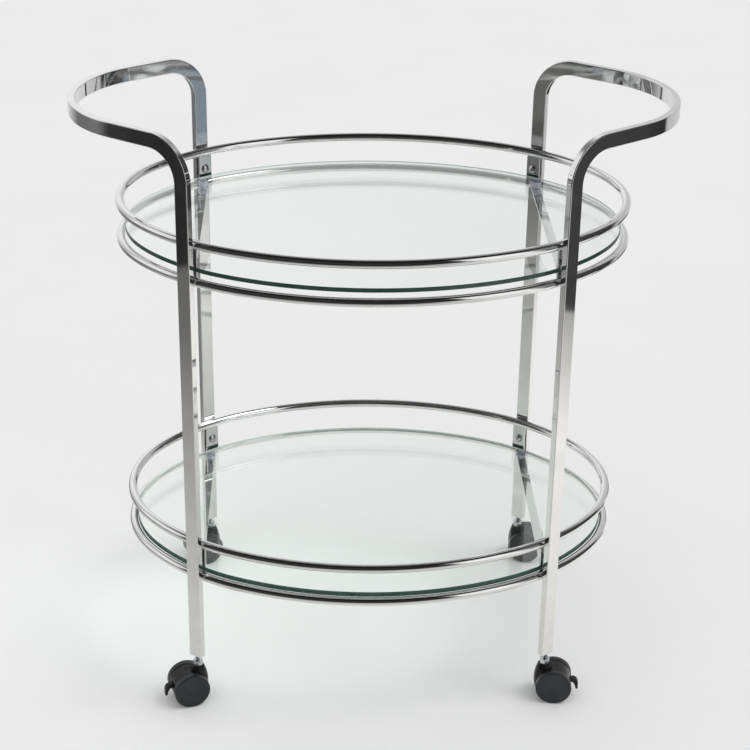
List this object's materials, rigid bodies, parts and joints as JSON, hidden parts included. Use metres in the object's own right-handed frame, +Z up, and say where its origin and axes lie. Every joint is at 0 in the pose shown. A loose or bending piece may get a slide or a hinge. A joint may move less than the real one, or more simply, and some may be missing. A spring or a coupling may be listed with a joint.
{
  "type": "bar cart",
  "caption": "Oval bar cart on swivel casters: bent chrome tube side frames form the legs and push handles, and railed trays carry clear glass shelves.",
  "frame": {"origin": "floor point under the middle of the cart", "axes": "+X along the cart toward the right push handle, +Y toward the back, +Z up; the braked casters are at the front, -Y"},
  "size_m": [0.8038, 0.5078, 0.8205],
  "materials": {
    "chrome": "polished chrome plate",
    "screw_steel": "bright plated steel",
    "zinc_steel": "bright zinc plate",
    "glass": "clear float glass with a polished green edge",
    "clear_pad": "clear soft vinyl",
    "hood_plastic": "black nylon, slight gloss",
    "wheel_plastic": "dark grey nylon, matt",
    "plug_plastic": "black moulded plug"
  },
  "bodies": {
    "cart_frame": {"caster_stems": "zinc_steel", "left_side_frame": "chrome", "leg_plugs": "plug_plastic", "lower_bracket_plates": "chrome", "lower_bracket_screws": "screw_steel", "lower_cross_bars": "chrome", "lower_glass_pads": "clear_pad", "lower_glass_shelf": "glass", "lower_guard_rail": "chrome", "lower_support_rail": "chrome", "right_side_frame": "chrome", "upper_bracket_plates": "chrome", "upper_bracket_screws": "screw_steel", "upper_cross_bars": "chrome", "upper_glass_pads": "clear_pad", "upper_glass_shelf": "glass", "upper_guard_rail": "chrome", "upper_support_rail": "chrome"},
    "front_left_caster": {"front_left_brake_pin": "zinc_steel", "front_left_caster_axle": "zinc_steel", "front_left_caster_hood": "hood_plastic"},
    "front_left_wheel_a": {"front_left_caster_wheel_a": "wheel_plastic"},
    "front_left_wheel_b": {"front_left_caster_wheel_b": "wheel_plastic"},
    "front_left_brake": {"front_left_brake_lever": "hood_plastic"},
    "front_right_caster": {"front_right_brake_pin": "zinc_steel", "front_right_caster_axle": "zinc_steel", "front_right_caster_hood": "hood_plastic"},
    "front_right_wheel_a": {"front_right_caster_wheel_a": "wheel_plastic"},
    "front_right_wheel_b": {"front_right_caster_wheel_b": "wheel_plastic"},
    "front_right_brake": {"front_right_brake_lever": "hood_plastic"},
    "rear_left_caster": {"rear_left_caster_axle": "zinc_steel", "rear_left_caster_hood": "hood_plastic"},
    "rear_left_wheel_a": {"rear_left_caster_wheel_a": "wheel_plastic"},
    "rear_left_wheel_b": {"rear_left_caster_wheel_b": "wheel_plastic"},
    "rear_right_caster": {"rear_right_caster_axle": "zinc_steel", "rear_right_caster_hood": "hood_plastic"},
    "rear_right_wheel_a": {"rear_right_caster_wheel_a": "wheel_plastic"},
    "rear_right_wheel_b": {"rear_right_caster_wheel_b": "wheel_plastic"}
  },
  "joints": [
    {"name": "front_left_swivel", "type": "hinge", "parent": "cart_frame", "child": "front_left_caster", "pos_m": [-0.24284, -0.18772, 0.045], "axis": [0, 0, 1], "continuous": true},
    {"name": "front_left_wheel_a_spin", "type": "hinge", "parent": "front_left_caster", "child": "front_left_wheel_a", "pos_m": [-0.26188, -0.1759, 0.025], "axis": [0.3338, -0.9426, 0], "continuous": true},
    {"name": "front_left_wheel_b_spin", "type": "hinge", "parent": "front_left_caster", "child": "front_left_wheel_b", "pos_m": [-0.25019, -0.20889, 0.025], "axis": [0.3338, -0.9426, 0], "continuous": true},
    {"name": "front_left_brake_press", "type": "hinge", "parent": "front_left_caster", "child": "front_left_brake", "pos_m": [-0.27065, -0.19757, 0.028], "axis": [0.3338, -0.9426, 0], "range_deg": [0, 18]},
    {"name": "front_right_swivel", "type": "hinge", "parent": "cart_frame", "child": "front_right_caster", "pos_m": [0.24284, -0.18772, 0.045], "axis": [0, 0, 1], "continuous": true},
    {"name": "front_right_wheel_a_spin", "type": "hinge", "parent": "front_right_caster", "child": "front_right_wheel_a", "pos_m": [0.25477, -0.20669, 0.025], "axis": [0.1132, 0.9936, 0], "continuous": true},
    {"name": "front_right_wheel_b_spin", "type": "hinge", "parent": "front_right_caster", "child": "front_right_wheel_b", "pos_m": [0.25873, -0.17192, 0.025], "axis": [0.1132, 0.9936, 0], "continuous": true},
    {"name": "front_right_brake_press", "type": "hinge", "parent": "front_right_caster", "child": "front_right_brake", "pos_m": [0.27215, -0.19106, 0.028], "axis": [0.1132, 0.9936, 0], "range_deg": [0, 18]},
    {"name": "rear_left_swivel", "type": "hinge", "parent": "cart_frame", "child": "rear_left_caster", "pos_m": [-0.24284, 0.18772, 0.045], "axis": [0, 0, 1], "continuous": true},
    {"name": "rear_left_wheel_a_spin", "type": "hinge", "parent": "rear_left_caster", "child": "rear_left_wheel_a", "pos_m": [-0.26342, 0.1966, 0.025], "axis": [0.4695, -0.8829, 0], "continuous": true},
    {"name": "rear_left_wheel_b_spin", "type": "hinge", "parent": "rear_left_caster", "child": "rear_left_wheel_b", "pos_m": [-0.24699, 0.1657, 0.025], "axis": [0.4695, -0.8829, 0], "continuous": true},
    {"name": "rear_right_swivel", "type": "hinge", "parent": "cart_frame", "child": "rear_right_caster", "pos_m": [0.24284, 0.18772, 0.045], "axis": [0, 0, 1], "continuous": true},
    {"name": "rear_right_wheel_a_spin", "type": "hinge", "parent": "rear_right_caster", "child": "rear_right_wheel_a", "pos_m": [0.25183, 0.16719, 0.025], "axis": [0.2588, 0.9659, 0], "continuous": true},
    {"name": "rear_right_wheel_b_spin", "type": "hinge", "parent": "rear_right_caster", "child": "rear_right_wheel_b", "pos_m": [0.26089, 0.201, 0.025], "axis": [0.2588, 0.9659, 0], "continuous": true}
  ]
}
